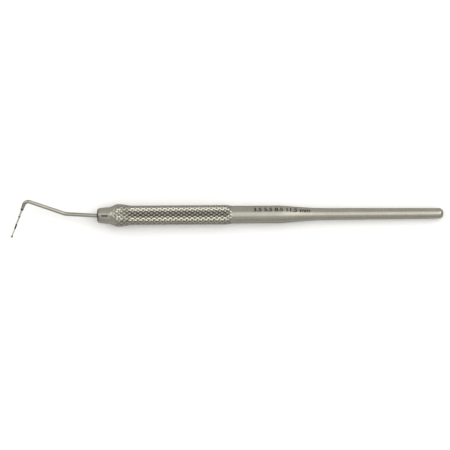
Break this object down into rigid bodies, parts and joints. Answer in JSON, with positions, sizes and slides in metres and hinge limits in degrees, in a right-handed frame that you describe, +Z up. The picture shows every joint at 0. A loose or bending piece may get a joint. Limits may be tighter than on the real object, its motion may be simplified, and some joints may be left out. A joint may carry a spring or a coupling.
{
  "type": "dental probe",
  "caption": "Single-ended dental probe: straight knurled steel handle with a slim tail, and a thin bent working end with black graduations and a small ball at its tip.",
  "frame": {"origin": "centre of the whole instrument's box, at its bottom, which is the level surface that the handle's swell and the ball lie on", "axes": "+X along the handle's axis towards the tail, with the working end at -X; +Z up, away from the surface; the ball is bent towards -Y"},
  "size_m": [0.1484, 0.0128, 0.0078],
  "materials": {
    "handle_steel": "satin, knurled on the grip",
    "wire_steel": "fine ground, a little brighter than the handle",
    "braze": "dark, as brazed",
    "mark_black": "matt black fill"
  },
  "bodies": {
    "root": {"handle": "handle_steel", "working_end": "wire_steel", "braze_ring": "braze", "mark_band_3_5_to_5_5": "mark_black", "mark_ring_8_5": "mark_black", "mark_ring_11_5": "mark_black"}
  },
  "joints": []
}
